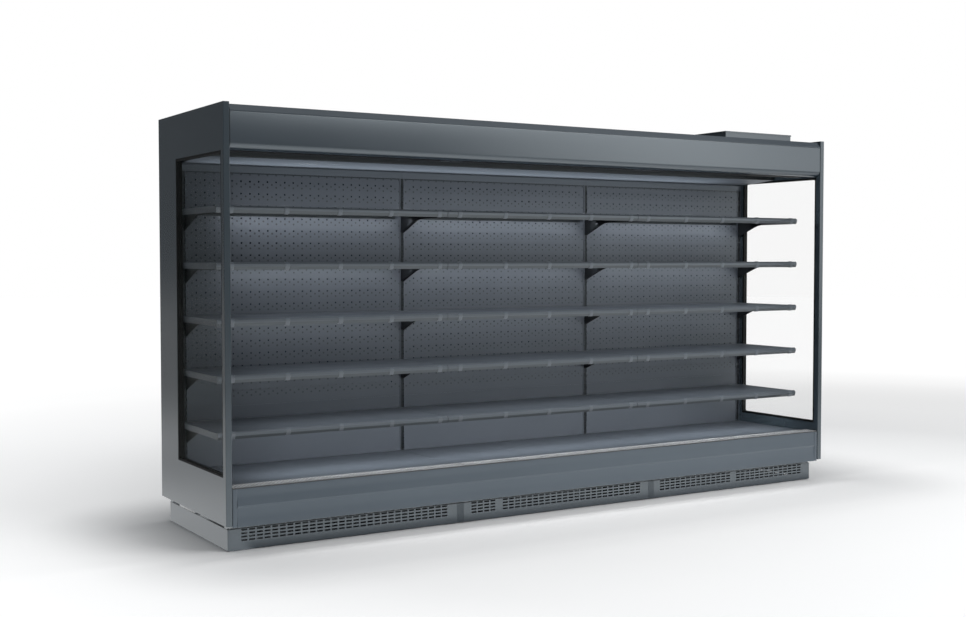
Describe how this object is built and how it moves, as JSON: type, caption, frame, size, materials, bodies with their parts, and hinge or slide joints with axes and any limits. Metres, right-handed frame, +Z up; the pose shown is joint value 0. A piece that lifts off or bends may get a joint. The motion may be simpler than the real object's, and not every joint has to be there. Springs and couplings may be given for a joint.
{
  "type": "open multideck display fridge",
  "caption": "Self-contained chilled wall cabinet with glazed gables, rows of tipping shelves, a lift-out deck, clip-off slotted kick plates and a roof-top control box",
  "frame": {"origin": "on the floor, under the centre of the case's outline", "axes": "X along the case to the shopper's right, Y from the shopper's side to the back, Z up"},
  "size_m": [3.81, 0.934, 2.108],
  "materials": {
    "graphite_powder_coat": "semi-gloss graphite grey powder coat",
    "interior_powder_coat": "satin graphite grey powder coat",
    "graphite_panel": "satin plastic skin on a foamed panel",
    "grey_bumper_plastic": "satin extruded plastic",
    "light_grille_plastic": "light grey moulded plastic",
    "black_rubber": "matt black glazing gasket",
    "black_plastic": "matt black moulded plastic",
    "clear_glass": "clear flat safety glass",
    "galvanised_steel": "dull galvanised sheet and bar",
    "aluminium_fins": "bare aluminium fins",
    "black_enamel": "black enamel on pressed steel",
    "copper_tube": "bare copper tube",
    "lamp_plastic": "translucent white lamp cover"
  },
  "bodies": {
    "case": {"gable_left": "graphite_panel", "gable_right": "graphite_panel", "rear_wall": "graphite_panel", "roof_panel": "graphite_panel", "base_tub": "graphite_panel", "gable_gaskets": "black_rubber", "gable_glass": "clear_glass", "base_frame": "galvanised_steel", "levelling_feet": "black_plastic", "plinth_ends": "graphite_powder_coat", "kick_joint_covers": "graphite_powder_coat", "bumper": "grey_bumper_plastic", "bumper_end_caps": "grey_bumper_plastic", "canopy_fascia": "graphite_powder_coat", "canopy_trim": "graphite_powder_coat", "ceiling_panel": "interior_powder_coat", "discharge_honeycomb": "black_plastic", "canopy_lamps": "lamp_plastic", "rear_air_panels": "interior_powder_coat", "upright_posts": "interior_powder_coat", "shelf_brackets": "interior_powder_coat", "evaporator_coils": "aluminium_fins", "evaporator_fan_plates": "galvanised_steel", "compressors": "black_enamel", "condenser_coils": "aluminium_fins", "condenser_fan_shrouds": "galvanised_steel", "control_box": "graphite_powder_coat", "control_box_lid": "graphite_powder_coat", "unit_and_drip_trays": "galvanised_steel", "refrigerant_pipes": "copper_tube"},
    "shelf_1_left": {"shelf_1_left": "interior_powder_coat"},
    "shelf_1_centre": {"shelf_1_centre": "interior_powder_coat"},
    "shelf_1_right": {"shelf_1_right": "interior_powder_coat"},
    "shelf_2_left": {"shelf_2_left": "interior_powder_coat"},
    "shelf_2_centre": {"shelf_2_centre": "interior_powder_coat"},
    "shelf_2_right": {"shelf_2_right": "interior_powder_coat"},
    "shelf_3_left": {"shelf_3_left": "interior_powder_coat"},
    "shelf_3_centre": {"shelf_3_centre": "interior_powder_coat"},
    "shelf_3_right": {"shelf_3_right": "interior_powder_coat"},
    "shelf_4_left": {"shelf_4_left": "interior_powder_coat"},
    "shelf_4_centre": {"shelf_4_centre": "interior_powder_coat"},
    "shelf_4_right": {"shelf_4_right": "interior_powder_coat"},
    "shelf_5_left": {"shelf_5_left": "interior_powder_coat"},
    "shelf_5_centre": {"shelf_5_centre": "interior_powder_coat"},
    "shelf_5_right": {"shelf_5_right": "interior_powder_coat"},
    "deck_left": {"deck_pan_left": "interior_powder_coat", "return_grille_left": "light_grille_plastic"},
    "kick_plate_left": {"kick_plate_left": "graphite_powder_coat"},
    "evaporator_fan_rotor_left": {"evaporator_fan_rotor_left": "black_plastic"},
    "condenser_fan_rotor_left": {"condenser_fan_rotor_left": "black_plastic"},
    "deck_centre": {"deck_pan_centre": "interior_powder_coat", "return_grille_centre": "light_grille_plastic"},
    "kick_plate_centre": {"kick_plate_centre": "graphite_powder_coat"},
    "evaporator_fan_rotor_centre": {"evaporator_fan_rotor_centre": "black_plastic"},
    "condenser_fan_rotor_centre": {"condenser_fan_rotor_centre": "black_plastic"},
    "deck_right": {"deck_pan_right": "interior_powder_coat", "return_grille_right": "light_grille_plastic"},
    "kick_plate_right": {"kick_plate_right": "graphite_powder_coat"},
    "evaporator_fan_rotor_right": {"evaporator_fan_rotor_right": "black_plastic"},
    "condenser_fan_rotor_right": {"condenser_fan_rotor_right": "black_plastic"}
  },
  "joints": [
    {"name": "shelf_1_left_tip", "type": "hinge", "parent": "case", "child": "shelf_1_left", "pos_m": [-1.25, 0.213, 0.531], "axis": [-1, 0, 0], "range_deg": [0, 20]},
    {"name": "shelf_1_centre_tip", "type": "hinge", "parent": "case", "child": "shelf_1_centre", "pos_m": [0, 0.213, 0.531], "axis": [-1, 0, 0], "range_deg": [0, 20]},
    {"name": "shelf_1_right_tip", "type": "hinge", "parent": "case", "child": "shelf_1_right", "pos_m": [1.25, 0.213, 0.531], "axis": [-1, 0, 0], "range_deg": [0, 20]},
    {"name": "shelf_2_left_tip", "type": "hinge", "parent": "case", "child": "shelf_2_left", "pos_m": [-1.25, 0.213, 0.79767], "axis": [-1, 0, 0], "range_deg": [0, 20]},
    {"name": "shelf_2_centre_tip", "type": "hinge", "parent": "case", "child": "shelf_2_centre", "pos_m": [0, 0.213, 0.79767], "axis": [-1, 0, 0], "range_deg": [0, 20]},
    {"name": "shelf_2_right_tip", "type": "hinge", "parent": "case", "child": "shelf_2_right", "pos_m": [1.25, 0.213, 0.79767], "axis": [-1, 0, 0], "range_deg": [0, 20]},
    {"name": "shelf_3_left_tip", "type": "hinge", "parent": "case", "child": "shelf_3_left", "pos_m": [-1.25, 0.213, 1.06433], "axis": [-1, 0, 0], "range_deg": [0, 20]},
    {"name": "shelf_3_centre_tip", "type": "hinge", "parent": "case", "child": "shelf_3_centre", "pos_m": [0, 0.213, 1.06433], "axis": [-1, 0, 0], "range_deg": [0, 20]},
    {"name": "shelf_3_right_tip", "type": "hinge", "parent": "case", "child": "shelf_3_right", "pos_m": [1.25, 0.213, 1.06433], "axis": [-1, 0, 0], "range_deg": [0, 20]},
    {"name": "shelf_4_left_tip", "type": "hinge", "parent": "case", "child": "shelf_4_left", "pos_m": [-1.25, 0.213, 1.331], "axis": [-1, 0, 0], "range_deg": [0, 20]},
    {"name": "shelf_4_centre_tip", "type": "hinge", "parent": "case", "child": "shelf_4_centre", "pos_m": [0, 0.213, 1.331], "axis": [-1, 0, 0], "range_deg": [0, 20]},
    {"name": "shelf_4_right_tip", "type": "hinge", "parent": "case", "child": "shelf_4_right", "pos_m": [1.25, 0.213, 1.331], "axis": [-1, 0, 0], "range_deg": [0, 20]},
    {"name": "shelf_5_left_tip", "type": "hinge", "parent": "case", "child": "shelf_5_left", "pos_m": [-1.25, 0.213, 1.59767], "axis": [-1, 0, 0], "range_deg": [0, 20]},
    {"name": "shelf_5_centre_tip", "type": "hinge", "parent": "case", "child": "shelf_5_centre", "pos_m": [0, 0.213, 1.59767], "axis": [-1, 0, 0], "range_deg": [0, 20]},
    {"name": "shelf_5_right_tip", "type": "hinge", "parent": "case", "child": "shelf_5_right", "pos_m": [1.25, 0.213, 1.59767], "axis": [-1, 0, 0], "range_deg": [0, 20]},
    {"name": "deck_left_lift", "type": "slide", "parent": "case", "child": "deck_left", "axis": [0, 0, 1], "range_m": [0, 0.08]},
    {"name": "kick_plate_left_pull", "type": "slide", "parent": "case", "child": "kick_plate_left", "axis": [0, -1, 0], "range_m": [0, 0.08]},
    {"name": "evaporator_fan_left_spin", "type": "hinge", "parent": "case", "child": "evaporator_fan_rotor_left", "pos_m": [-1.25, 0.3285, 0.355], "axis": [0, 0, 1], "continuous": true},
    {"name": "condenser_fan_left_spin", "type": "hinge", "parent": "case", "child": "condenser_fan_rotor_left", "pos_m": [-1.29, -0.268, 0.102], "axis": [0, -1, 0], "continuous": true},
    {"name": "deck_centre_lift", "type": "slide", "parent": "case", "child": "deck_centre", "axis": [0, 0, 1], "range_m": [0, 0.08]},
    {"name": "kick_plate_centre_pull", "type": "slide", "parent": "case", "child": "kick_plate_centre", "axis": [0, -1, 0], "range_m": [0, 0.08]},
    {"name": "evaporator_fan_centre_spin", "type": "hinge", "parent": "case", "child": "evaporator_fan_rotor_centre", "pos_m": [0, 0.3285, 0.355], "axis": [0, 0, 1], "continuous": true},
    {"name": "condenser_fan_centre_spin", "type": "hinge", "parent": "case", "child": "condenser_fan_rotor_centre", "pos_m": [-0.04, -0.268, 0.102], "axis": [0, -1, 0], "continuous": true},
    {"name": "deck_right_lift", "type": "slide", "parent": "case", "child": "deck_right", "axis": [0, 0, 1], "range_m": [0, 0.08]},
    {"name": "kick_plate_right_pull", "type": "slide", "parent": "case", "child": "kick_plate_right", "axis": [0, -1, 0], "range_m": [0, 0.08]},
    {"name": "evaporator_fan_right_spin", "type": "hinge", "parent": "case", "child": "evaporator_fan_rotor_right", "pos_m": [1.25, 0.3285, 0.355], "axis": [0, 0, 1], "continuous": true},
    {"name": "condenser_fan_right_spin", "type": "hinge", "parent": "case", "child": "condenser_fan_rotor_right", "pos_m": [1.21, -0.268, 0.102], "axis": [0, -1, 0], "continuous": true}
  ]
}
